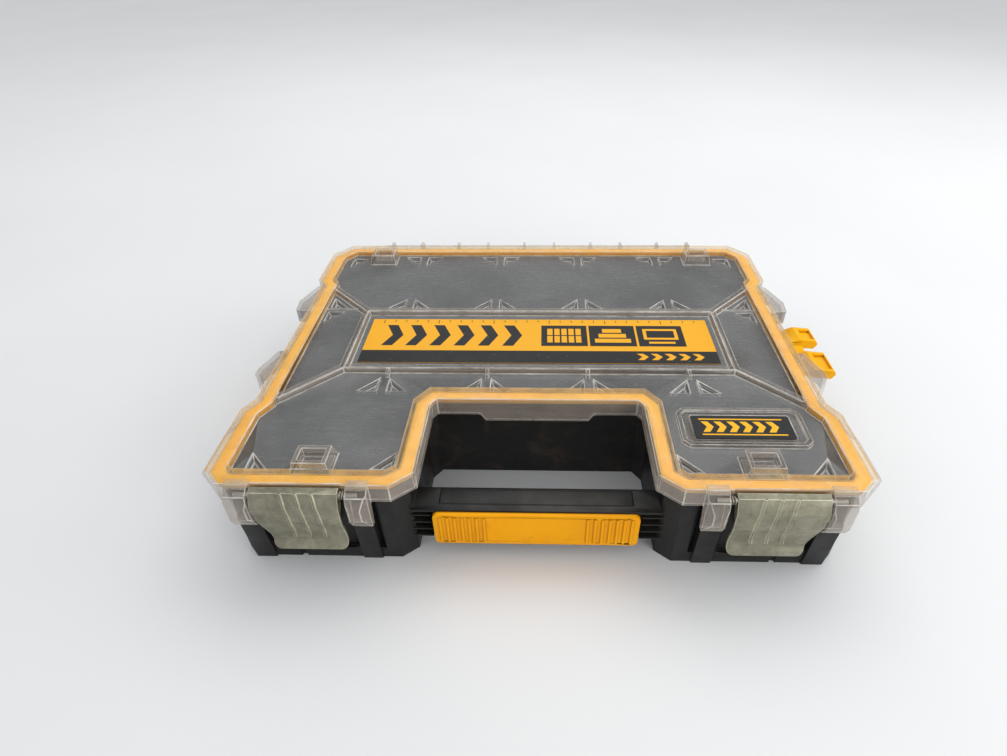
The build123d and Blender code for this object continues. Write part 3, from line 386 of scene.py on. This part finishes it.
def worn_zinc(name, gain):
    """Dull plated sheet steel: mottled olive grey, times the gain, with dark spots and pale lines."""
    material, tree, shader, coords = new_material(name)
    olive, pale_olive = (0.19, 0.18, 0.13), (0.35, 0.335, 0.25)
    dark_spot, bright_line = (0.11, 0.10, 0.08), (0.60, 0.58, 0.50)
    mottle = patches(
        tree, coords, low=0.32, high=0.7, scale=85.0, detail=7.0, roughness=0.7, distortion=0.5
    )
    colour = mixed(tree, mottle, tuple(gain * c for c in olive), tuple(gain * c for c in pale_olive))
    spot = patches(tree, coords, low=0.6, high=0.75, amount=0.5, scale=420.0, detail=3.0, roughness=0.7)
    colour = mixed(tree, spot, colour, dark_spot)
    along = stretched(tree, coords, by=(14.0, 40.0, 260.0))
    line = patches(tree, along, low=0.62, high=0.78, amount=0.55, scale=9.0, detail=5.0)
    colour = mixed(tree, line, colour, bright_line)
    plug(tree, shader.inputs["Base Color"], colour)
    shader.inputs["Metallic"].default_value = 0.72
    wear = noise(tree, coords, scale=240.0, detail=4.0, roughness=0.6)
    roughened(tree, shader, wear, smooth=0.38, rough=0.62)
    grain = noise(tree, coords, scale=620.0, detail=4.0, roughness=0.6)
    bumped(tree, shader, grain, distance=0.00006, strength=0.4)
    return material


def plain_steel(name, dark, pale, smooth, rough):
    """Bright or dull drawn steel with faint marks along its length."""
    material, tree, shader, coords = new_material(name)
    along = stretched(tree, coords, by=(12.0, 300.0, 300.0))
    mark = patches(tree, along, low=0.35, high=0.7, scale=6.0, detail=4.0)
    plug(tree, shader.inputs["Base Color"], mixed(tree, mark, dark, pale))
    shader.inputs["Metallic"].default_value = 1.0
    roughened(tree, shader, noise(tree, coords, scale=300.0, detail=3.0), smooth, rough)
    bumped(tree, shader, mark, distance=0.00005, strength=0.4)
    return material


def soft_rubber():
    """Matte black rubber with a fine pitted skin."""
    material, tree, shader, coords = new_material("gasket_rubber")
    tint = patches(tree, coords, low=0.35, high=0.7, scale=60.0, detail=4.0)
    black, dark_grey = (0.012, 0.012, 0.012), (0.035, 0.034, 0.032)
    plug(tree, shader.inputs["Base Color"], mixed(tree, tint, black, dark_grey))
    roughened(tree, shader, noise(tree, coords, scale=200.0, detail=3.0), smooth=0.7, rough=0.85)
    bumped(tree, shader, noise(tree, coords, scale=900.0, detail=2.0), distance=0.0001, strength=0.5)
    return material


def printed(name, base, worn, amount):
    """Printed film with a slight orange peel and small worn flecks."""
    material, tree, shader, coords = new_material(name)
    shade_depth = 0.7
    shade = patches(tree, coords, low=noise_low, high=noise_high, amount=0.16, scale=12.0, detail=3.0)
    colour = mixed(tree, shade, base, tuple(shade_depth * c for c in base))
    along = stretched(tree, coords, by=(90.0, 260.0, 90.0))
    fleck = patches(tree, along, low=0.66, high=0.71, scale=2.0, detail=6.0, roughness=0.75)
    colour = mixed(tree, calculate(tree, "MULTIPLY", fleck, amount), colour, worn)
    plug(tree, shader.inputs["Base Color"], colour)
    shader.inputs["Specular IOR Level"].default_value = 0.2
    roughened(tree, shader, noise(tree, coords, scale=150.0, detail=3.0), smooth=0.30, rough=0.45)
    bumped(tree, shader, noise(tree, coords, scale=260.0, detail=3.0), distance=0.00008, strength=0.4)
    return material


def floor_surface():
    """Plain pale floor."""
    material, tree, shader, coords = new_material("floor_pale")
    shade = patches(tree, coords, low=noise_low, high=noise_high, scale=3.0, detail=3.0)
    pale_grey, paler_grey = (0.80, 0.81, 0.82), (0.83, 0.84, 0.85)
    plug(tree, shader.inputs["Base Color"], mixed(tree, shade, pale_grey, paler_grey))
    shader.inputs["Roughness"].default_value = 0.75
    return material


# Geometry helpers
def flat_regions(work):
    """Groups of faces that lie in one plane and join along edges."""
    seen, regions = set(), []
    for start in work.faces:
        if start in seen:
            continue
        seen.add(start)
        region = [start]
        for face in region:
            for edge in face.edges:
                for other in edge.link_faces:
                    if other not in seen and other.normal.angle(start.normal, no_normal) < flat_turn:
                        seen.add(other)
                        region.append(other)
        regions.append(region)
    return regions


def holds_no_hole(region):
    """Whether a flat region is one plain outline, from its counts of points, edges and faces."""
    points = {vertex for face in region for vertex in face.verts}
    edges = {edge for face in region for edge in face.edges}
    return len(points) - len(edges) + len(region) == 1


def new_object(name, work):
    """A new object in the scene from an edit mesh, which is freed."""
    mesh = bpy.data.meshes.new(name)
    work.to_mesh(mesh)
    work.free()
    piece = bpy.data.objects.new(name, mesh)
    bpy.context.collection.objects.link(piece)
    return piece


def clean_copy(node, name):
    """Copy of a CAD node's mesh with each flat face whole where it has no hole, as a new object."""
    work = bmesh.new()
    work.from_mesh(nodes[node].data)
    bmesh.ops.remove_doubles(work, verts=work.verts, dist=weld_gap)
    for region in flat_regions(work):
        if len(region) > 1 and holds_no_hole(region):
            bmesh.ops.dissolve_faces(work, faces=region, use_verts=False)
    return new_object(name, work)


def surface_tree(mesh):
    """Search tree over a mesh's faces."""
    return BVHTree.FromPolygons([v.co for v in mesh.vertices], [p.vertices for p in mesh.polygons])


def pull_back_strays(mesh, source, reach):
    """Points that lie farther than the reach from the source's surface move onto it."""
    tree = surface_tree(source)
    for vertex in mesh.vertices:
        nearest, _, _, distance = tree.find_nearest(vertex.co)
        if distance > reach:
            vertex.co = nearest


def softened(node, width, material, segments=2, edge_material=None):
    """Stand-in for a CAD node with rounded edges, which can have a material of their own."""
    piece = clean_copy(node, node + "_look")
    piece.data.shade_smooth()
    piece.data.materials.append(material)
    bevel = piece.modifiers.new("rounded_edges", "BEVEL")
    bevel.width = width
    bevel.segments = segments
    bevel.limit_method = "ANGLE"
    bevel.angle_limit = sharp_turn
    bevel.use_clamp_overlap = False
    bevel.harden_normals = True
    if edge_material:
        piece.data.materials.append(edge_material)
        bevel.material = edge_slot
    bpy.context.view_layer.update()
    rounded = piece.evaluated_get(bpy.context.evaluated_depsgraph_get())
    piece.data = bpy.data.meshes.new_from_object(rounded)
    piece.modifiers.clear()
    pull_back_strays(piece.data, nodes[node].data, width)
    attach(piece, body_of[node])
    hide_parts(node)
    return piece


def dressed(node, material):
    """New material on a CAD node that keeps its shape."""
    nodes[node].data.materials.clear()
    nodes[node].data.materials.append(material)


def flat_piece(name, outlines, height, material, node):
    """Thin printed shapes lying on a node, each a closed outline of (x, y) points."""
    work = bmesh.new()
    for outline in outlines:
        low = [work.verts.new((x, y, height)) for x, y in outline]
        high = [work.verts.new((x, y, height + ink_film)) for x, y in outline]
        count = len(outline)
        work.faces.new(high)
        work.faces.new(list(reversed(low)))
        for i in range(count):
            j = (i + 1) % count
            work.faces.new((low[i], low[j], high[j], high[i]))
    bmesh.ops.recalc_face_normals(work, faces=work.faces)
    piece = new_object(name, work)
    piece.data.materials.append(material)
    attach(piece, body_of[node])


def rectangle(x0, x1, y0, y1):
    """Outline of an upright rectangle, anticlockwise."""
    return [(x0, y0), (x1, y0), (x1, y1), (x0, y1)]


def ring_strips(x0, x1, y0, y1, width):
    """Four strips that frame a rectangle, a hair apart at the corners."""
    low, high = y0 + width + hair, y1 - width - hair
    return [
        rectangle(x0, x1, y0, y0 + width),
        rectangle(x0, x1, y1 - width, y1),
        rectangle(x0, x0 + width, low, high),
        rectangle(x1 - width, x1, low, high),
    ]


def chevron(x, y0, y1, reach, width):
    """One arrow-shaped stroke that points to +X."""
    middle = (y0 + y1) / 2
    front = [(x, y0), (x + width, y0), (x + width + reach, middle)]
    back = [(x + width, y1), (x, y1), (x + reach, middle)]
    return front + back


# The pieces
def make_tub():
    """Tub, bins, pins and gasket."""
    tub_plastic = black_moulding(
        "tub_black_plastic", base=(0.0075, 0.0078, 0.0078), dust=(0.070, 0.056, 0.042), dust_amount=0.34
    )
    softened("base_tub", soft_edge, tub_plastic)
    bin_plastic = black_moulding(
        "bin_grey_plastic", base=(0.030, 0.031, 0.033), dust=(0.10, 0.09, 0.08), dust_amount=0.25
    )
    for node in nodes:
        if node.startswith("bin_"):
            dressed(node, bin_plastic)
    hinge_steel = plain_steel(
        "hinge_pin_steel", dark=(0.30, 0.30, 0.30), pale=(0.55, 0.55, 0.54), smooth=0.25, rough=0.4
    )
    dressed("hinge_pins", hinge_steel)
    dressed("lid_gasket", soft_rubber())


def inside_seal(tree, place, level):
    """Whether the seal frame runs around a point, so that a ray to the back meets just one of its walls."""
    backwards = Vector((0, 1, 0))
    met, start = 0, Vector((place.x, place.y, level))
    while True:
        hit = tree.ray_cast(start, backwards)[0]
        if hit is None:
            return met == faces_per_wall
        met += 1
        start = hit + ray_step * backwards


def make_lid():
    """Clear lid with its scuffed panel, and the seal frame in its channel."""
    clear = clear_plastic("lid_clear_plastic", tint=(0.50, 0.43, 0.36), least=0.05, most=0.75, wall=0.20)
    # The lid's rounded edges get pale lines painted on as highlights
    lid = softened("lid_shell", soft_edge, clear, edge_material=painted_edge_highlights())
    panel_slot, rim_painted_amber_slot, channel_painted_amber_slot = 2, 3, 4
    lid.data.materials.append(scuffed_panel())
    # The rim over the seal frame and the faces beside the frame are painted amber: painted light of the
    # frame seen through the clear plastic
    lid.data.materials.append(
        clear_plastic("lid_rim_painted_amber", tint=(1.0, 0.64, 0.15), least=0.14, most=0.55, wall=0.0)
    )
    lid.data.materials.append(
        clear_plastic("lid_channel_painted_amber", tint=(0.90, 0.50, 0.13), least=0.16, most=0.60, wall=0.22)
    )
    panel_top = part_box("lid_label")[0].z + panel_margin
    tree = surface_tree(nodes["lid_seal_frame"].data)
    low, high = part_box("lid_seal_frame")
    level = (low.z + high.z) / 2
    # Faces under the label become the panel; faces over and beside the seal frame take the painted amber
    # light
    for face in lid.data.polygons:
        if face.material_index == edge_slot:
            continue
        corners = [lid.data.vertices[i].co for i in face.vertices]
        heights = [corner.z for corner in corners]
        if max(heights) < panel_top and inside_seal(tree, face.center, level):
            face.material_index = panel_slot
            continue
        away = max(tree.find_nearest(corner)[3] for corner in corners)
        if min(heights) > high.z and away < rim_reach:
            face.material_index = rim_painted_amber_slot
        elif away < painted_amber_reach:
            face.material_index = channel_painted_amber_slot
    softened("lid_seal_frame", seal_edge, amber_plastic(), segments=4)
    make_lug_caps()


def make_lug_caps():
    """Raised tops of the four front lugs, which lap over the rim above the seal frame."""
    rim_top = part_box("lid_seal_frame")[1].z + rim_rise
    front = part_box("base_tub")[0].y
    work = bmesh.new()
    for x0, x1 in lug_cap_spans:
        ends = []
        for x in (x0 * MM, x1 * MM):
            ends.append([work.verts.new((x, front + y * MM, rim_top + z * MM)) for y, z in lug_cap_profile])
        work.faces.new(ends[0])
        work.faces.new(list(reversed(ends[1])))
        for i in range(len(lug_cap_profile)):
            j = (i + 1) % len(lug_cap_profile)
            work.faces.new((ends[0][j], ends[0][i], ends[1][i], ends[1][j]))
    bmesh.ops.recalc_face_normals(work, faces=work.faces)
    bmesh.ops.bevel(work, geom=work.edges[:], offset=lug_cap_edge, segments=2, profile=0.5, affect="EDGES")
    piece = new_object("front_lug_caps", work)
    piece.data.shade_smooth()
    piece.data.materials.append(
        clear_plastic("lug_cap_plastic", tint=(0.58, 0.50, 0.40), least=0.18, most=0.70, wall=0.20)
    )
    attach(piece, body_of["lid_shell"])


def make_yellow_parts():
    """Grip and side latches."""
    grip_plastic = yellow_plastic(
        "grip_yellow_plastic", base=(0.92, 0.37, 0.0), warm=(0.98, 0.43, 0.001), dirt_amount=0.5
    )
    softened("handle_grip", fine_edge, grip_plastic)
    plastic = yellow_plastic(
        "latch_yellow_plastic", base=(0.96, 0.44, 0.0), warm=(1.0, 0.52, 0.004), dirt_amount=0.15
    )
    for side in ("left", "right"):
        softened("side_latch_" + side, soft_edge, plastic)


def make_latches():
    """Front latches, with their pins and springs."""
    zinc = worn_zinc("latch_worn_zinc", gain=1.0)
    # The rounded edges get a copy of the zinc 2.2 times brighter, painted on as highlights along the edges
    # and ribs
    edge_highlight_zinc = worn_zinc("latch_edges_painted_highlight", gain=2.2)
    pin_steel = plain_steel(
        "latch_pin_steel", dark=(0.32, 0.31, 0.29), pale=(0.55, 0.54, 0.50), smooth=0.28, rough=0.45
    )
    wire = plain_steel(
        "spring_wire_steel", dark=(0.22, 0.20, 0.16), pale=(0.46, 0.42, 0.34), smooth=0.3, rough=0.45
    )
    for side in ("left", "right"):
        softened("latch_" + side, fine_edge, zinc, edge_material=edge_highlight_zinc)
        dressed("latch_pin_" + side, pin_steel)
        dressed("latch_spring_" + side, wire)
        dressed("side_latch_pin_" + side, pin_steel)


def make_label():
    """Printed label: yellow field with a ruler and pictograms, and a black strip with chevrons in front."""
    strip_depth, front_margin, back_margin = 16.5 * MM, 7.0 * MM, 9.5 * MM
    first_panel, panel_step, panel_shape = 146.0, 40.0, 1.25
    first_arrow, arrow_step, arrow_count = 14.0, 20.0, 6
    low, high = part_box("lid_label")
    top = high.z
    yellow = printed("label_yellow_print", base=(0.93, 0.44, 0.008), worn=(0.75, 0.62, 0.40), amount=0.5)
    black = printed("label_black_print", base=ink_black, worn=(0.55, 0.54, 0.50), amount=1.0)
    dressed("lid_label", yellow)
    strip_back = low.y + strip_depth
    strip = [rectangle(low.x, high.x, low.y, strip_back)]
    flat_piece("label_strip", strip, top, black, "lid_label")
    small_arrows = strip_chevrons(low, high, strip_back)
    flat_piece("label_strip_chevrons", small_arrows, top + ink_film, yellow, "lid_label")
    flat_piece("label_ruler", ruler_marks(low, high), top, black, "lid_label")
    y0 = strip_back + front_margin
    y1 = high.y - back_margin
    panels, pictures = [], []
    for i, drawing in enumerate((grid_picture, stack_picture, case_picture)):
        x0 = low.x + (first_panel + panel_step * i) * MM
        x1 = x0 + panel_shape * (y1 - y0)
        panels.append(rectangle(x0, x1, y0, y1))
        pictures += drawing(x0, x1, y0, y1)
    flat_piece("label_panels", panels, top, black, "lid_label")
    flat_piece("label_pictograms", pictures, top + ink_film, yellow, "lid_label")
    arrows = []
    for i in range(arrow_count):
        x = low.x + (first_arrow + arrow_step * i) * MM
        arrows.append(chevron(x, y0, y1, reach=7.0 * MM, width=9.0 * MM))
    flat_piece("label_field_chevrons", arrows, top, black, "lid_label")


def strip_chevrons(low, high, strip_back):
    """Chevrons at the right end of the label's black strip."""
    first, step, count = 64.0, 11.0, 5
    front_margin, back_margin = 4.5 * MM, 3.5 * MM
    y0, y1 = low.y + front_margin, strip_back - back_margin
    arrows = []
    for i in range(count):
        arrows.append(chevron(high.x - (first - step * i) * MM, y0, y1, reach=4.0 * MM, width=5.0 * MM))
    return arrows


def ruler_marks(low, high):
    """Ticks along the label's back edge, every fifth one longer."""
    side_margin, back_margin, half_line = 10.0 * MM, 1.5 * MM, 0.3 * MM
    short, long, every = 3.0 * MM, 5.0 * MM, 5
    count = 28
    step = (high.x - low.x - 2 * side_margin) / count
    marks = []
    for i in range(count + 1):
        length = long if i % every == 0 else short
        x = low.x + side_margin + i * step
        y = high.y - back_margin
        marks.append(rectangle(x - half_line, x + half_line, y - length, y))
    return marks


def grid_picture(x0, x1, y0, y1):
    """Pictogram of bins: two rows of five."""
    shapes = []
    columns, rows = 5, 2
    edge = picture_margin * (y1 - y0)
    wide = (x1 - x0 - 2 * edge) / columns
    tall = (y1 - y0 - 2 * edge) / rows
    gap = shape_gap * wide
    for column in range(columns):
        for row in range(rows):
            x = x0 + edge + column * wide
            y = y0 + edge + row * tall
            shapes.append(rectangle(x + gap, x + wide - gap, y + gap, y + tall - gap))
    return shapes


def stack_picture(x0, x1, y0, y1):
    """Pictogram of three stacked cases, each narrower than the one under it."""
    shapes = []
    levels, step_in = 3, 0.8
    edge = picture_margin * (y1 - y0)
    tall = (y1 - y0 - 2 * edge) / levels
    gap = shape_gap * tall
    for level in range(levels):
        y = y0 + edge + level * tall
        inset = edge * (1.0 + step_in * level)
        shapes.append(rectangle(x0 + inset, x1 - inset, y + gap, y + tall - gap))
    return shapes


def case_picture(x0, x1, y0, y1):
    """Pictogram of a case outline with its handle."""
    edge_share, line_share = 0.16, 0.09
    edge = edge_share * (y1 - y0)
    line = line_share * (y1 - y0)
    half_handle = 2.2 * edge
    handle_y = y0 + 0.8 * edge
    case_y = y0 + 2.0 * edge
    middle = (x0 + x1) / 2
    case = ring_strips(x0 + edge, x1 - edge, case_y, y1 - edge, width=line)
    handle = rectangle(middle - half_handle, middle + half_handle, handle_y, handle_y + line)
    return case + [handle]


def make_badge():
    """Badge: black plate with two yellow lines and a row of chevrons."""
    low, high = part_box("badge_plate")
    yellow = printed("badge_yellow_print", base=(0.95, 0.50, 0.010), worn=(0.30, 0.20, 0.05), amount=0.25)
    black = printed("badge_black_print", base=ink_black, worn=(0.30, 0.29, 0.27), amount=0.3)
    dressed("badge_plate", black)
    shapes = []
    line, line_end = 1.2 * MM, 5.0 * MM
    front_line, back_line = low.y + 3.2 * MM, high.y - 4.4 * MM
    for y in (front_line, back_line):
        shapes.append(rectangle(low.x + line_end, high.x - line_end, y, y + line))
    count = 6
    start, ends, margin = 6.0 * MM, 14.0 * MM, 6.2 * MM
    step = (high.x - low.x - ends) / count
    for i in range(count):
        x = low.x + start + i * step
        shapes.append(chevron(x, low.y + margin, high.y - margin, reach=3.4 * MM, width=4.6 * MM))
    flat_piece("badge_print", shapes, high.z, yellow, "badge_plate")


# Floor, light and camera
def make_stage():
    """Pale floor under the object."""
    mesh = bpy.data.meshes.new("floor")
    corners = [(x, y, 0) for x, y in rectangle(-floor_half, floor_half, -floor_half, floor_half)]
    mesh.from_pydata(corners, [], [(0, 1, 2, 3)])
    mesh.materials.append(floor_surface())
    floor = bpy.data.objects.new("floor", mesh)
    bpy.context.collection.objects.link(floor)


def area_light(name, place, target, size, power, colour):
    """A soft rectangular lamp that looks at a point."""
    data = bpy.data.lights.new(name, "AREA")
    data.shape = "RECTANGLE"
    data.size, data.size_y = size
    data.energy = power
    data.color = colour
    lamp = bpy.data.objects.new(name, data)
    lamp.location = place
    lamp.rotation_euler = (Vector(target) - Vector(place)).to_track_quat("-Z", "Y").to_euler()
    bpy.context.collection.objects.link(lamp)


def make_lights():
    """Soft light from above and behind, a window on the right, a weak fill in front, and a pale sky."""
    area_light(
        "ceiling", place=(0.35, 0.9, 1.6), target=(0, 0, 0), size=(2.2, 1.2),
        power=13.0, colour=(1.0, 0.99, 0.97)
    )
    area_light(
        "window", place=(1.6, 0.1, 0.8), target=(0, 0, 0.05), size=(1.0, 0.8),
        power=5.0, colour=(0.98, 0.99, 1.0)
    )
    area_light(
        "front_fill", place=(0.75, -0.85, 0.45), target=(0.15, -0.1, 0.05), size=(0.5, 0.3),
        power=2.4, colour=(1.0, 0.98, 0.95)
    )
    world = bpy.data.worlds.new("studio")
    world.use_nodes = True
    tree = world.node_tree
    background = tree.nodes["Background"]
    coords = tree.nodes.new("ShaderNodeTexCoord").outputs["Generated"]
    height = spread(tree, axis_value(tree, coords, "Z"), low=0.0, high=0.8)
    sky = mixed(tree, height, sky_level, sky_overhead)
    seen = tree.nodes.new("ShaderNodeLightPath").outputs["Is Camera Ray"]
    plug(tree, background.inputs["Color"], mixed(tree, seen, sky, sky_seen))
    background.inputs["Strength"].default_value = sky_strength
    bpy.context.scene.world = world


def make_camera():
    """Camera at the photograph's place."""
    data = bpy.data.cameras.new("photo_camera")
    data.sensor_width = camera_sensor
    data.lens = camera_lens
    data.shift_x, data.shift_y = camera_shift
    camera = bpy.data.objects.new("photo_camera", data)
    turn = Matrix((camera_right, -camera_down, -camera_forward)).transposed()
    camera.matrix_world = Matrix.Translation(camera_place) @ turn.to_4x4()
    bpy.context.collection.objects.link(camera)
    bpy.context.scene.camera = camera


make_camera()
make_tub()
make_lid()
make_yellow_parts()
make_latches()
make_label()
make_badge()
make_stage()
make_lights()
bpy.context.scene.view_settings.view_transform = "Standard"
bpy.context.view_layer.update()
